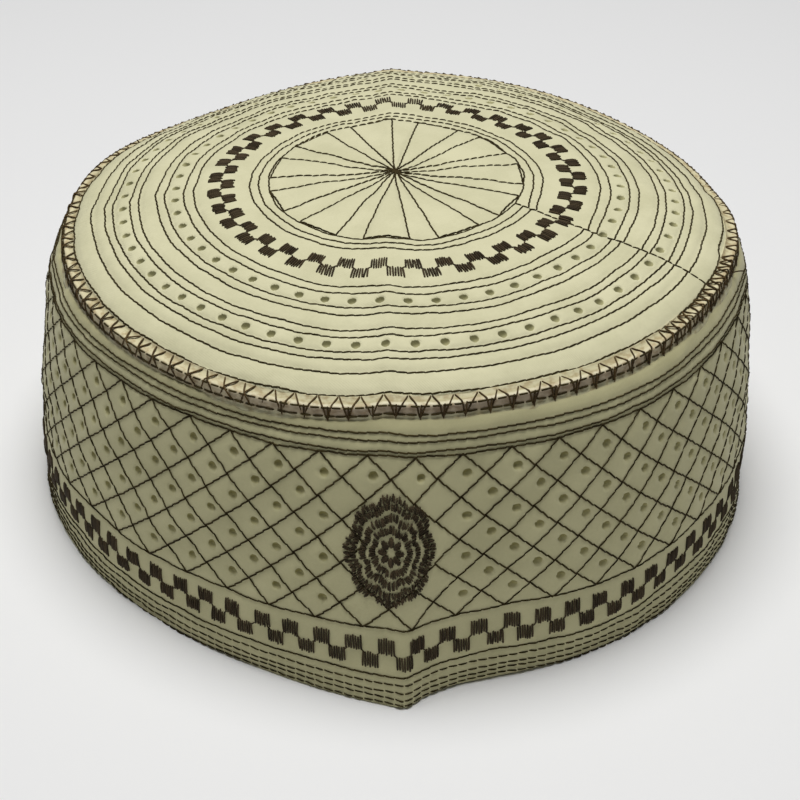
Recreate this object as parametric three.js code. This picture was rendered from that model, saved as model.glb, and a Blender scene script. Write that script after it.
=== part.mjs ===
// Embroidered prayer cap: a round crown, a corded seam, a flared side band and a raised front motif.
// Millimetres, +Z up, the front of the cap towards -Y, the hem on z = 0.
import * as THREE from 'three';

const degrees = Math.PI / 180;

// Driving sizes
const crownHeight = 79.6; // crown centre above the hem, before the storage fold lifts it
const domeRadius = 83; // radius that the crown's shape is worked out on
const crownEdgeRadius = 78.5; // where the crown panel stops, just outside its last stitch line
const bandTopRadius = 80.1; // where the band starts, under the seam
const hemRadius = 88.9; // mean radius of the hem
const clothThickness = 2.0; // two layers of cotton quilted over an interlining
const pipingRadius = 1.5;
const pieceGap = 0.3; // what touching pieces keep

// How the dome falls away from its centre: drop * (radius / domeRadius) ^ power
const domeDrops = [
  { drop: 6.4, power: 2 },
  { drop: 2.5, power: 4 },
  { drop: 4.6, power: 10 },
];

// Slow waves of the soft crown, in lobes round the circle, growing with the power of the radius
const crownWaves = [
  { lobes: 1, cosine: 1.5, sine: -0.9, power: 1 },
  { lobes: 2, cosine: 0.6, sine: -0.9, power: 2 },
  { lobes: 3, cosine: -0.3, sine: -1.2, power: 3 },
  { lobes: 4, cosine: 1.0, sine: -0.8, power: 4 },
  { lobes: 5, cosine: 0.3, sine: 0.0, power: 4 },
  { lobes: 6, cosine: 0.0, sine: -0.6, power: 4 },
];
const crownLean = 1.5; // how far the crown's edge is pushed towards +X

// The crown's edge is pulled in a little at one direction, over a width in degrees
const pull = { direction: 7, depth: 2.5, width: 15, power: 10 };

// The fold from flat storage: a low ridge over the crown and a crease in the band at the front,
// which falls away softly on its left and sharply on its right
const ridge = { height: 1.1, width: 5.1, offset: -1.4, rounding: 0.8 };
const crease = {
  height: 9.6, leftWidth: 0.54, rightWidth: 0.08, rounding: 0.012, hemAngle: -88.4, topAngle: -88.7,
};

// Tucks of the crown's edge: how far it is pinched down at a direction, and over what width
const tucks = [
  { direction: -10, depth: 1.2, width: 5 },
  { direction: 178, depth: 0.6, width: 7 },
];
const tuckPower = 8; // how steeply a tuck grows towards the edge

// The hem seen from above, as waves added to its mean radius
const hemWaves = [
  { lobes: 1, cosine: 0.5, sine: 0.2 },
  { lobes: 2, cosine: 0.8, sine: -1.7 },
  { lobes: 3, cosine: -1.1, sine: 0.1 },
  { lobes: 5, cosine: 0.4, sine: -0.1 },
];

// The band's profile from seam to hem: it rounds out quickly under the seam, then runs nearly straight
const flarePower = 0.39;
const bulge = 0.7; // how far the band's middle is pushed out
const bandDrop = 2.5; // the band's top edge below the crown's surface line
const pipingDrop = 0.6; // the piping's centre below the crown's surface line

// The front motif, an upright oval with petals, placed on the band by its share of the way round
// and of the way down. The petals' depth is a share of its half sizes
const motif = {
  around: -0.006, down: 0.426, halfWidth: 10.3, halfHeight: 13.4,
  petals: 8, petalDepth: 0.11, thickness: 0.8,
};

// How finely the pieces are faceted. The powers set the rings and rows closer where the cloth bends most
const columns = 96;
const crownRings = 11;
const crownRingPower = 0.85;
const bandRows = 9;
const bandRowPower = 1.6;
const pipingSides = 8;
const motifRings = 3;
const motifColumns = 48;
const arcSamples = 720;

// A smooth bump that is one at zero and fades over the width, rounded at its tip
function fadingFold(distance, width, rounding) {
  return Math.exp((rounding - Math.hypot(distance, rounding)) / width);
}

// The smallest turn between two directions, in radians
function turnBetween(angle, reference) {
  return Math.atan2(Math.sin(angle - reference), Math.cos(angle - reference));
}

function waveSum(waves, angle) {
  return waves.reduce((total, wave) => total
    + wave.cosine * Math.cos(wave.lobes * angle) + wave.sine * Math.sin(wave.lobes * angle), 0);
}

// A point of the crown's outer surface, carried on past its edge to the seam
function crownPoint(radius, angle) {
  const share = radius / domeRadius;
  const pullTurn = turnBetween(angle, pull.direction * degrees) / (pull.width * degrees);
  const edgeShare = Math.min(radius / crownEdgeRadius, 1);
  const pulled = radius - pull.depth * Math.exp(-(pullTurn ** 2)) * edgeShare ** pull.power;
  const x = pulled * Math.cos(angle) + crownLean * share ** 2;
  const y = pulled * Math.sin(angle);
  let z = crownHeight;
  for (const { drop, power } of domeDrops) z -= drop * share ** power;
  for (const wave of crownWaves) z += waveSum([wave], angle) * share ** wave.power;
  for (const tuck of tucks) {
    const turn = turnBetween(angle, tuck.direction * degrees) / (tuck.width * degrees);
    z -= tuck.depth * Math.exp(-(turn ** 2)) * share ** tuckPower;
  }
  z += ridge.height * fadingFold(x - ridge.offset, ridge.width, ridge.rounding);
  return new THREE.Vector3(x, y, z);
}

// How far the crease pushes the hem out in a direction
function creaseReach(angle) {
  const turn = turnBetween(angle, crease.hemAngle * degrees);
  const width = turn < 0 ? crease.leftWidth : crease.rightWidth;
  return crease.height * fadingFold(turn, width, crease.rounding);
}

// The hem's outer edge on the table
function hemPoint(angle) {
  const radius = hemRadius + waveSum(hemWaves, angle) + creaseReach(angle);
  return new THREE.Vector3(radius * Math.cos(angle), radius * Math.sin(angle), 0);
}

// A closed curve that can be read at an even share of its length, starting at an angle
function evenCurve(pointAt, startAngle) {
  const points = [];
  const lengths = [0];
  for (let step = 0; step <= arcSamples; step += 1) {
    points.push(pointAt(startAngle + (2 * Math.PI * step) / arcSamples));
    if (step > 0) {
      const flat = points[step].clone().setZ(points[step - 1].z);
      lengths.push(lengths[step - 1] + flat.distanceTo(points[step - 1]));
    }
  }
  const total = lengths[arcSamples];
  return (around) => {
    const wanted = (around - Math.floor(around)) * total;
    let low = 0;
    let high = arcSamples;
    while (high - low > 1) {
      const middle = (low + high) >> 1;
      if (lengths[middle] <= wanted) low = middle;
      else high = middle;
    }
    const share = (wanted - lengths[low]) / (lengths[high] - lengths[low]);
    return points[low].clone().lerp(points[high], share);
  };
}

const bandTopCurve = evenCurve((angle) => {
  const point = crownPoint(bandTopRadius, angle);
  point.z -= bandDrop;
  return point;
}, crease.topAngle * degrees);
const hemCurve = evenCurve(hemPoint, crease.hemAngle * degrees);

// The band's outer surface, at a share of the way round from the crease and of the way down.
// The crease grows evenly from nothing at the seam to its full reach at the hem
function bandPoint(around, down) {
  const top = bandTopCurve(around);
  const hem = hemCurve(around);
  const reach = creaseReach(Math.atan2(hem.y, hem.x));
  const hemward = hem.clone().normalize();
  const plainHem = hem.clone().addScaledVector(hemward, -reach);
  const flare = down ** flarePower;
  const fold = reach * down;
  const swell = bulge * 4 * down * (1 - down);
  const outward = new THREE.Vector3(top.x, top.y, 0).normalize();
  return new THREE.Vector3(
    top.x + (plainHem.x - top.x) * flare + hemward.x * fold + outward.x * swell,
    top.y + (plainHem.y - top.y) * flare + hemward.y * fold + outward.y * swell,
    top.z * (1 - down),
  );
}

// The outward normal of the band's outer surface
function bandNormal(around, down) {
  const step = 0.004;
  const upper = Math.max(down - step, 0);
  const lower = Math.min(down + step, 1);
  const along = bandPoint(around + step, down).sub(bandPoint(around - step, down));
  const fall = bandPoint(around, lower).sub(bandPoint(around, upper));
  return fall.cross(along).normalize();
}

// A closed skin over a list of rings. A ring of one point is a pole; a looped skin ends where it starts
function skin(rings, looped) {
  const positions = [];
  const starts = rings.map((ring) => {
    const start = positions.length / 3;
    for (const point of ring) positions.push(point.x, point.y, point.z);
    return start;
  });
  const indices = [];
  const pairs = looped ? rings.length : rings.length - 1;
  for (let pair = 0; pair < pairs; pair += 1) {
    const next = (pair + 1) % rings.length;
    const count = Math.max(rings[pair].length, rings[next].length);
    const corner = (ring, column) => starts[ring] + (column % rings[ring].length);
    for (let column = 0; column < count; column += 1) {
      const a = corner(pair, column);
      const b = corner(pair, column + 1);
      const c = corner(next, column + 1);
      const d = corner(next, column);
      if (a !== b) indices.push(a, c, b);
      if (c !== d) indices.push(a, d, c);
    }
  }
  const geometry = new THREE.BufferGeometry();
  geometry.setAttribute('position', new THREE.Float32BufferAttribute(positions, 3));
  geometry.setIndex(indices);
  geometry.computeVertexNormals();
  return geometry;
}

function ringOf(count, pointAt) {
  return Array.from({ length: count }, (_, column) => pointAt(column / count));
}

// The crown: a domed panel with a wall of one cloth thickness, closed at its edge
function makeCrown() {
  const startAngle = crease.topAngle * degrees;
  const sheet = (depth) => Array.from({ length: crownRings }, (_, ring) => {
    const radius = crownEdgeRadius * ((ring + 1) / crownRings) ** crownRingPower;
    return ringOf(columns, (share) => {
      const point = crownPoint(radius, startAngle + 2 * Math.PI * share);
      point.z -= depth;
      return point;
    });
  });
  const poleTop = crownPoint(0, 0);
  const poleUnder = poleTop.clone();
  poleUnder.z -= clothThickness;
  return skin([[poleTop], ...sheet(0), ...sheet(clothThickness).reverse(), [poleUnder]], false);
}

// The side band: outer and inner walls joined at the seam edge and at a flat hem edge
function makeSideBand() {
  const wall = (thickness) => Array.from({ length: bandRows + 1 }, (_, row) => {
    const down = (row / bandRows) ** bandRowPower;
    return ringOf(columns, (around) => {
      const point = bandPoint(around, down);
      point.addScaledVector(bandNormal(around, Math.max(down, 0.01)), -thickness);
      if (row === bandRows) point.z = 0;
      return point;
    });
  });
  return skin([...wall(0), ...wall(clothThickness).reverse()], true);
}

// The seam piping: a cord of round section that follows the crown's edge
function makeSeamPiping() {
  const centreRadius = crownEdgeRadius + pieceGap + pipingRadius;
  const rings = Array.from({ length: pipingSides }, (_, side) => {
    const turn = (-2 * Math.PI * side) / pipingSides;
    return ringOf(columns, (share) => {
      const angle = crease.topAngle * degrees + 2 * Math.PI * share;
      const centre = crownPoint(centreRadius, angle);
      centre.x += pipingRadius * Math.cos(turn) * Math.cos(angle);
      centre.y += pipingRadius * Math.cos(turn) * Math.sin(angle);
      centre.z += pipingRadius * Math.sin(turn) - pipingDrop;
      return centre;
    });
  });
  return skin(rings, true);
}

// The front motif: a raised oval medallion of eight petals that follows the band
function makeFrontMotif() {
  const meanRadius = bandTopRadius + (hemRadius - bandTopRadius) * motif.down ** flarePower;
  const girth = 2 * Math.PI * meanRadius;
  const bandHeight = bandTopCurve(motif.around).z;
  const point = (spread, share, lift) => {
    const angle = -2 * Math.PI * share;
    const petal = 1 - Math.abs(Math.cos((motif.petals * angle) / 2));
    const reach = spread * (1 - motif.petalDepth * petal);
    const around = motif.around + (reach * motif.halfWidth * Math.sin(angle)) / girth;
    const down = motif.down - (reach * motif.halfHeight * Math.cos(angle)) / bandHeight;
    return bandPoint(around, down).addScaledVector(bandNormal(around, down), lift);
  };
  const face = (lift) => Array.from({ length: motifRings }, (_, ring) => (
    ringOf(motifColumns, (share) => point((ring + 1) / motifRings, share, lift))
  ));
  const top = pieceGap + motif.thickness;
  return skin([
    [point(0, 0, top)], ...face(top), ...face(pieceGap).reverse(), [point(0, 0, pieceGap)],
  ], false);
}

const cloth = { roughness: 0.9, metalness: 0 };
const materials = {
  crownCloth: new THREE.MeshStandardMaterial({ color: 0xd9d2ae, ...cloth }),
  bandCloth: new THREE.MeshStandardMaterial({ color: 0xcfc7a0, ...cloth }),
  pipingCloth: new THREE.MeshStandardMaterial({ color: 0xc2a878, ...cloth }),
  brownThread: new THREE.MeshStandardMaterial({ color: 0x45362a, roughness: 0.6, metalness: 0 }),
};

function namedMesh(name, geometry, material) {
  const mesh = new THREE.Mesh(geometry, material);
  mesh.name = name;
  return mesh;
}

const group = new THREE.Group();
group.add(namedMesh('crown', makeCrown(), materials.crownCloth));
group.add(namedMesh('seam_piping', makeSeamPiping(), materials.pipingCloth));
group.add(namedMesh('side_band', makeSideBand(), materials.bandCloth));
group.add(namedMesh('front_motif', makeFrontMotif(), materials.brownThread));

// The origin goes under the middle of the cap's outline
const outline = new THREE.Box3().setFromObject(group);
const middle = outline.getCenter(new THREE.Vector3());
group.position.set(-middle.x, -middle.y, 0);

export default group;
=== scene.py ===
import math

import bpy
import numpy as np
from mathutils import Matrix, Vector


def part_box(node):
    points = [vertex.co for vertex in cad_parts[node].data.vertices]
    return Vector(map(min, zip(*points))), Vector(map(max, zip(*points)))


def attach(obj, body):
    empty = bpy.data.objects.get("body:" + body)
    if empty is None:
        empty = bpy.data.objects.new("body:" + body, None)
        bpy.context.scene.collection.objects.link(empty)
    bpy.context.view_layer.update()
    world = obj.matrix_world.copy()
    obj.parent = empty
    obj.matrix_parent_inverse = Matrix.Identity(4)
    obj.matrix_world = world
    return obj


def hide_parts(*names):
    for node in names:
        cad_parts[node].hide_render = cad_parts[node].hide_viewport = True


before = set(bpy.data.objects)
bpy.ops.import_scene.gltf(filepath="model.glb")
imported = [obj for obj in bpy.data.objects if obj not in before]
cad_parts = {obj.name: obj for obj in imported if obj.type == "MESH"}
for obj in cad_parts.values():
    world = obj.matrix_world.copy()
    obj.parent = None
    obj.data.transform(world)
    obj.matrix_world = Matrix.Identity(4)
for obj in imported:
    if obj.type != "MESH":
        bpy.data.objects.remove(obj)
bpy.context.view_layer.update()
random = np.random.default_rng(7)

MM = 0.001
TURN = 2 * math.pi
FAR = 99.0

# Driving sizes of the cap, the same as those of the part's source
CROWN_HEIGHT = 79.6
DOME_RADIUS = 83.0
CROWN_EDGE_RADIUS = 78.5
CROWN_LEAN = 1.5
TUCK_POWER = 8
BAND_TOP_RADIUS = 80.1
BAND_DROP = 2.5
BAND_HEIGHT = 69.0
HEM_RADIUS = 88.9
FLARE_POWER = 0.39
BULGE = 0.7
CLOTH_THICKNESS = 2.0
# drop, power
DOME_DROPS = [(6.4, 2), (2.5, 4), (4.6, 10)]
# lobes, cosine, sine, power
CROWN_WAVES = [(1, 1.5, -0.9, 1), (2, 0.6, -0.9, 2), (3, -0.3, -1.2, 3),
               (4, 1.0, -0.8, 4), (5, 0.3, 0.0, 4), (6, 0.0, -0.6, 4)]
# lobes, cosine, sine
HEM_WAVES = [(1, 0.5, 0.2), (2, 0.8, -1.7), (3, -1.1, 0.1), (5, 0.4, -0.1)]
# direction, depth, width
TUCKS = [(-10, 1.2, 5), (178, 0.6, 7)]
PULL = {"direction": 7, "depth": 2.5, "width": 15, "power": 10}
RIDGE = {"height": 1.1, "width": 5.1, "offset": -1.4, "rounding": 0.8}
CREASE = {"height": 9.6, "left_width": 0.54, "right_width": 0.08, "rounding": 0.012,
          "hem_angle": -88.4, "top_angle": -88.7}

# Stitching of the crown: radii of its rings, from the middle outwards
WEDGE_RING = 30.4
CROWN_RINGS = [32.7, 34.8, 48.2, 50.6, 55.1, 57.3, 61.8, 63.8, 68.0, 69.9, 73.2]
EDGE_RING = 78.0
WEDGES = 11
WEDGE_START = 1.50
WEDGE_WIDTH = 0.353
CROWN_CHEQUER = {"count": 35, "start": -0.051, "rows": (38.8, 42.0, 45.2), "width": 0.52}
# radius, count, phase
CROWN_EYELETS = [(53.1, 55, 0.3), (66.0, 66, 0.1)]
# How the crown's last line of stitches wanders: direction in degrees, distance from the middle
EDGE_WANDER = [(-61, 77.8), (-53, 77.8), (-44, 78.2), (-29, 78.3), (-24, 78.2),
               (-20.6, 77.8), (-18.2, 76.7), (-14, 76.9), (-6, 77.9), (4, 78.0)]

# Stitching of the band, as shares of its height below the seam
BAND_BLOCKS = 78
LATTICE_COLUMNS = 52
LATTICE_ROWS = 4
PHASE = -0.0005
LATTICE_START = PHASE - 0.0012 - 2.62 / BAND_BLOCKS
STRETCH = 0.0055
LATTICE_TOP = 0.1125
LATTICE_FOOT = 0.7025
BAND_LINES = [0.0460, 0.0665, 0.0985, LATTICE_TOP, LATTICE_FOOT, 0.8810, 0.9125, 0.9440, 0.9660, 0.9870]
HEM_LINES_FROM = 0.9
CHEQUER_ROWS = (0.7391, 0.8000, 0.8551)
CHEQUER_FIRST = -13.5
CHEQUER_WIDTH = 0.55
# How the lines under the seam and those above the hem wander: share of the way round, share of the height
TOP_WANDER = [(-0.5, -0.008), (-0.2, -0.012), (-0.118, -0.016), (-0.058, -0.0175), (-0.035, -0.0165),
              (-0.005, -0.0005), (0.02, 0.0), (0.14, 0.002), (0.5, -0.008)]
LOW_WANDER = [(-0.3, 0.0), (-0.158, -0.004), (-0.116, 0.012), (-0.085, 0.005), (-0.03, 0.001),
              (0.021, -0.001), (0.045, -0.008), (0.07, 0.006), (0.1, 0.014), (0.138, -0.002), (0.3, 0.0)]
EYELET = {"radius": 1.0, "depth": 0.65, "shift_right": 1.4, "shift_up": 0.5, "rim": 0.1, "sharpness": 8.0}
MOTIF = {"around": -0.006, "down": 0.426, "half_width": 10.3, "half_height": 13.4,
         "clear_side": 13.5, "clear_height": 15.5, "petals": 8}

# The seam: the crown's turned edge makes a rounded corner, with a flat fold under it that ends on the band.
# distance out from the crown's edge line, height above the crown's carried-on surface
SEAM_PROFILE = [(0.0, -0.2), (0.55, -0.25), (1.1, -0.1), (1.65, 0.22), (2.1, 0.5), (2.5, 0.58),
                (2.75, 0.32), (2.7, -0.1), (2.85, -0.6), (2.9, -1.1), (2.9, -1.5)]
# place over the seam, pitch, share of the pitch that a stitch covers
SEAM_LINES = [(0.56, 2.3, 0.86), (0.9, 2.5, 0.92)]
FOLD_END = 0.003
SEAM_TEETH = 104
FIRST_TOOTH = -90.6

# Radii of the threads, and the height that satin stitches lie above the cloth
LINE_THREAD = 0.205
CROWN_SATIN = 0.225
BAND_SATIN = 0.23
MOTIF_SATIN = 0.22
SEAM_THREAD = 0.23
ZIGZAG_THREAD = 0.19
LINK_THREAD = 0.16
SATIN_HEIGHT = 0.06
SATIN_THREADS = 7
CROWN_PITCH = 2.0
BAND_PITCH = 2.2


# Small helpers

def bell(distance, width):
    """1 at no distance, fading out over a few widths."""
    return np.exp(-(distance / width) ** 2)


def fading_fold(distance, width, rounding):
    return np.exp((rounding - np.hypot(distance, rounding)) / width)


def unit(vectors):
    return vectors / np.maximum(np.linalg.norm(vectors, axis=-1, keepdims=True), 1e-9)


def polar(radius, angle):
    return np.stack([radius * np.cos(angle), radius * np.sin(angle)], -1)


def flat(x, y):
    return np.stack([x, y, 0 * x], -1)


def lobed(angle, lobes, cosine, sine):
    return cosine * np.cos(lobes * angle) + sine * np.sin(lobes * angle)


def turn_between(angle, reference):
    return np.arctan2(np.sin(angle - reference), np.cos(angle - reference))


def near(angle, direction, width):
    """1 in a direction given in degrees, fading out to both sides of it."""
    return bell(turn_between(angle, math.radians(direction)), math.radians(width))


def from_middle(around, middle=0.0):
    """How far round the band a place lies from a middle place, from -0.5 to 0.5."""
    return (around - middle + 0.5) % 1.0 - 0.5


# The plain shapes of the crown and the band

def crown_base(radius, angle):
    """The crown's outer surface at a distance and a direction from its middle."""
    share = radius / DOME_RADIUS
    edge_share = np.minimum(radius / CROWN_EDGE_RADIUS, 1.0)
    pull = PULL["depth"] * near(angle, PULL["direction"], PULL["width"]) * edge_share ** PULL["power"]
    x = (radius - pull) * np.cos(angle) + CROWN_LEAN * share ** 2
    y = (radius - pull) * np.sin(angle)
    z = CROWN_HEIGHT + 0 * x
    for drop, power in DOME_DROPS:
        z = z - drop * share ** power
    for lobes, cosine, sine, power in CROWN_WAVES:
        z = z + lobed(angle, lobes, cosine, sine) * share ** power
    for direction, depth, width in TUCKS:
        z = z - depth * near(angle, direction, width) * share ** TUCK_POWER
    z = z + RIDGE["height"] * fading_fold(x - RIDGE["offset"], RIDGE["width"], RIDGE["rounding"])
    return np.stack([x, y, z], -1)


def even_curve(points):
    """A closed curve that can be read at shares of its length seen from above, its length,
    and the share at which each of its points lies."""
    steps = np.linalg.norm(np.diff(points[:, :2], axis=0), axis=1)
    lengths = np.concatenate([[0], np.cumsum(steps)])

    def read(around):
        wanted = (around % 1.0) * lengths[-1]
        return np.stack([np.interp(wanted, lengths, points[:, axis]) for axis in range(3)], -1)

    return read, lengths[-1], lengths / lengths[-1]


def crease_reach(angle):
    """How far the crease pushes the hem out in a direction."""
    turn = turn_between(angle, math.radians(CREASE["hem_angle"]))
    width = np.where(turn < 0, CREASE["left_width"], CREASE["right_width"])
    return CREASE["height"] * fading_fold(turn, width, CREASE["rounding"])


SWEEP = np.linspace(0, TURN, 1441)


def hem_points():
    angle = math.radians(CREASE["hem_angle"]) + SWEEP
    radius = HEM_RADIUS + crease_reach(angle)
    for lobes, cosine, sine in HEM_WAVES:
        radius = radius + lobed(angle, lobes, cosine, sine)
    return flat(radius * np.cos(angle), radius * np.sin(angle))


band_top_points = crown_base(BAND_TOP_RADIUS + 0 * SWEEP, math.radians(CREASE["top_angle"]) + SWEEP)
band_top, band_top_length, band_top_shares = even_curve(band_top_points - [0, 0, BAND_DROP])
band_hem, hem_length = even_curve(hem_points())[:2]
BAND_GIRTH = 0.5 * (band_top_length + hem_length)
CELL_WIDTH = BAND_GIRTH / LATTICE_COLUMNS
CELL_HEIGHT = (LATTICE_FOOT - LATTICE_TOP) * BAND_HEIGHT / LATTICE_ROWS
ON_BAND = np.array([1 / BAND_GIRTH, 1 / BAND_HEIGHT])


def band_base(around, down):
    """The band's outer surface at a share of the way round and a share of the height down."""
    top = band_top(around)
    hem = band_hem(around)[..., :2]
    down = np.clip(down, 0.0, 1.0)[..., None]
    crease = unit(hem) * crease_reach(np.arctan2(hem[..., 1], hem[..., 0]))[..., None]
    flare = (hem - crease - top[..., :2]) * down ** FLARE_POWER
    swell = unit(top[..., :2]) * BULGE * 4 * down * (1 - down)
    return np.concatenate([top[..., :2] + flare + crease * down + swell, top[..., 2:] * (1 - down)], -1)


def crown_normal(radius, angle):
    step = 0.5
    radius = np.maximum(radius, 1.0)
    swing = step / radius
    outward = crown_base(radius + step, angle) - crown_base(radius - step, angle)
    along = crown_base(radius, angle + swing) - crown_base(radius, angle - swing)
    return unit(np.cross(outward, along))


def band_normal(around, down):
    step = 0.0015
    reach = 0.006
    upper = np.clip(down - reach, 2 * reach, 1 - 2 * reach)
    lower = np.clip(down + reach, 4 * reach, 1.0)
    along = band_base(around + step, down) - band_base(around - step, down)
    fall = band_base(around, lower) - band_base(around, upper)
    return unit(np.cross(fall, along))


# Relief of the cloth: grooves under the stitching, eyelets, and the soft unevenness of sewn cotton

def dimple(distance):
    """The dent of an eyelet and the low rim around it."""
    edge = np.clip((EYELET["radius"] + 0.15 - distance) / 0.45, 0, 1)
    rim = EYELET["rim"] * bell(distance - EYELET["radius"] - 0.4, 0.35)
    return rim - EYELET["depth"] * edge * edge * (3 - 2 * edge)


def make_ripples(count, shortest, longest, seed):
    maker = np.random.default_rng(seed)
    length = np.exp(maker.uniform(math.log(shortest), math.log(longest), count))
    heading = maker.uniform(0, TURN, count)
    phase = maker.uniform(0, TURN, count)
    weight = (length / longest) ** 0.7
    return length, heading, phase, weight / np.sqrt(np.sum(weight ** 2) / 2)


def ripple(x, y, ripples):
    total = 0 * x
    for length, heading, phase, weight in zip(*ripples):
        total = total + weight * np.sin(
            TURN * (x * math.cos(heading) + y * math.sin(heading)) / length + phase)
    return total


SOFT_RIPPLES = make_ripples(14, 7, 34, 11)
PUCKER_RIPPLES = make_ripples(16, 2.2, 5.5, 12)


def cloth_relief(x, y, soft, stitching, groove_depth, groove_width, eyelet):
    """How far the cloth stands out, from the distances to the nearest stitches and the nearest eyelet."""
    groove = groove_depth * bell(stitching, groove_width)
    pucker = 0.05 * ripple(x, y, PUCKER_RIPPLES) * np.exp(-stitching / 2.5)
    return soft * ripple(x, y, SOFT_RIPPLES) - groove + pucker + dimple(eyelet)


def join_angle(radius):
    """The direction of the radial line where the crown's rings of stitching start and end."""
    return np.radians(-29.4 + 3.6 * np.exp(-(radius - WEDGE_RING) / 9))


def wedges():
    """The directions of the middle and of the two edges of each wedge."""
    for wedge in range(WEDGES):
        middle = WEDGE_START - (wedge + 0.5) * TURN / WEDGES
        yield middle, middle - WEDGE_WIDTH / 2, middle + WEDGE_WIDTH / 2


def beside_line(radius, off, reached):
    """Distance from a line that runs out from the middle, off being the angle to it."""
    return np.where((np.cos(off) > 0) & reached, np.abs(radius * np.sin(off)), FAR)


def crown_relief(radius, angle):
    stitching = np.full_like(radius, FAR)
    for ring in [WEDGE_RING, *CROWN_RINGS, EDGE_RING]:
        stitching = np.minimum(stitching, np.abs(radius - ring))
    for wedge in wedges():
        for line in wedge[1:]:
            stitching = np.minimum(stitching, beside_line(radius, angle - line, radius < WEDGE_RING))
    off_join = angle - join_angle(np.maximum(radius, WEDGE_RING))
    stitching = np.minimum(stitching, beside_line(radius, off_join, radius > WEDGE_RING) + 0.3)
    eyelet = np.full_like(radius, FAR)
    for ring, count, phase in CROWN_EYELETS:
        pitch = TURN / count
        turn = (angle - phase + pitch / 2) % pitch - pitch / 2
        eyelet = np.minimum(eyelet, np.hypot(radius - ring, radius * turn))
    return cloth_relief(radius * np.cos(angle), radius * np.sin(angle), 0.13, stitching, 0.3, 0.75, eyelet)


def stretched(around):
    """The pattern is a little wider at the front than at the back."""
    return around + STRETCH * np.sin(TURN * around)


def unstretched(around):
    guess = around - STRETCH * np.sin(TURN * around)
    return around - STRETCH * np.sin(TURN * guess)


def line_down(level, around):
    """Where a line of stitches lies on the band, as it wanders under the seam or above the hem."""
    places, shifts = np.array(TOP_WANDER if level < 0.5 else LOW_WANDER).T
    return level + np.interp(from_middle(around), places, shifts)


def lattice_down(share, around):
    top = line_down(LATTICE_TOP, around)
    return top + (line_down(LATTICE_FOOT, around) - top) * share


def lattice_cell(around, down):
    """Place in the lattice: columns across from the first apex and rows down."""
    across = (unstretched(around) - LATTICE_START) * LATTICE_COLUMNS
    top = line_down(LATTICE_TOP, around)
    return across, (down - top) / (line_down(LATTICE_FOOT, around) - top) * LATTICE_ROWS


def eyelet_cell(around, down):
    """Place in the lattice as the eyelets see it, a little uneven, the distances from the cell's middle,
    and whether the cell has an eyelet."""
    across, fall = lattice_cell(around, down)
    across = across + 0.012 * np.sin(2.3 * across + 1.7 * fall)
    fall = fall + 0.012 * np.sin(1.9 * across - 2.6 * fall)
    slant = (across + fall) % 1.0 - 0.5
    counter = (across - fall) % 1.0 - 0.5
    beside = (slant + counter) / 2 * CELL_WIDTH
    below = (slant - counter) / 2 * CELL_HEIGHT
    motif_beside = from_middle(around, MOTIF["around"]) * BAND_GIRTH - beside
    motif_below = (down - MOTIF["down"]) * BAND_HEIGHT - below
    clear = (np.abs(motif_beside) > MOTIF["clear_side"]) | (np.abs(motif_below) > MOTIF["clear_height"])
    row = fall - below / CELL_HEIGHT
    return across, fall, beside, below, clear & (row > 0.25) & (row < LATTICE_ROWS - 0.25)


def band_relief(around, down):
    stitching = np.full_like(around, FAR)
    for level in BAND_LINES:
        stitching = np.minimum(stitching, np.abs(down - line_down(level, around)) * BAND_HEIGHT)
    across, fall = lattice_cell(around, down)
    scale = CELL_WIDTH * CELL_HEIGHT / math.hypot(CELL_WIDTH, CELL_HEIGHT)
    inside = (fall > 0) & (fall < LATTICE_ROWS)
    for cell in (across - fall, across + fall):
        beside = np.abs(cell - np.round(cell)) * scale
        stitching = np.where(inside, np.minimum(stitching, beside), stitching)
    across, fall, beside, below, has_eyelet = eyelet_cell(around, down)
    eyelet = np.hypot(beside - EYELET["shift_right"], below + EYELET["shift_up"])
    # Flat places that meet where the band closes on itself
    height = down * BAND_HEIGHT
    x = BAND_GIRTH / TURN * np.cos(TURN * around) + 0.6 * height
    y = BAND_GIRTH / TURN * np.sin(TURN * around) + 0.8 * height
    return cloth_relief(x, y, 0.14, stitching, 0.15, 0.65, np.where(has_eyelet, eyelet, FAR))


def finished(base, normal_at, relief):
    """A surface with its relief, which gives the points and normals at places on it."""
    def surface(first, second):
        normal = normal_at(first, second)
        return base(first, second) + normal * relief(first, second)[..., None], normal
    return surface


round_crown_surface = finished(crown_base, crown_normal, crown_relief)
band_surface = finished(band_base, band_normal, band_relief)


def crown_surface(x, y):
    return round_crown_surface(np.hypot(x, y), np.arctan2(y, x))


def seam_base(angle, travel):
    """A point over the seam: travel is 0 at the crown's last stitch line, 1 where the fold ends,
    and goes on down the band from there."""
    out, rise = np.array(SEAM_PROFILE).T
    marks = np.linspace(0, 1, len(out))
    point = crown_base(EDGE_RING + np.interp(travel, marks, out) + np.minimum(travel, 0) * 3, angle)
    point[..., 2] += np.interp(travel, marks, rise)
    around = np.interp((angle - math.radians(CREASE["top_angle"])) % TURN, SWEEP, band_top_shares)
    foot = band_base(around, FOLD_END + np.maximum(travel - 1, 0) * 0.05)
    share = np.clip((travel - 0.88) / 0.12, 0, 1)[..., None]
    return point * (1 - share) + foot * share


def seam_normal(angle, travel):
    along = seam_base(angle + 0.01, travel) - seam_base(angle - 0.01, travel)
    fall = seam_base(angle, travel + 0.06) - seam_base(angle, np.maximum(travel - 0.06, 0.0))
    return unit(np.cross(fall, along))


# Meshes

def shift_to_part():
    """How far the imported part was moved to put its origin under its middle."""
    edge = crown_base(np.full_like(SWEEP, CROWN_EDGE_RADIUS), SWEEP)
    shift = np.mean(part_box("crown"), 0) - (edge.min(0) + edge.max(0)) / 2 * MM
    return shift * [1, 1, 0]


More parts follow.
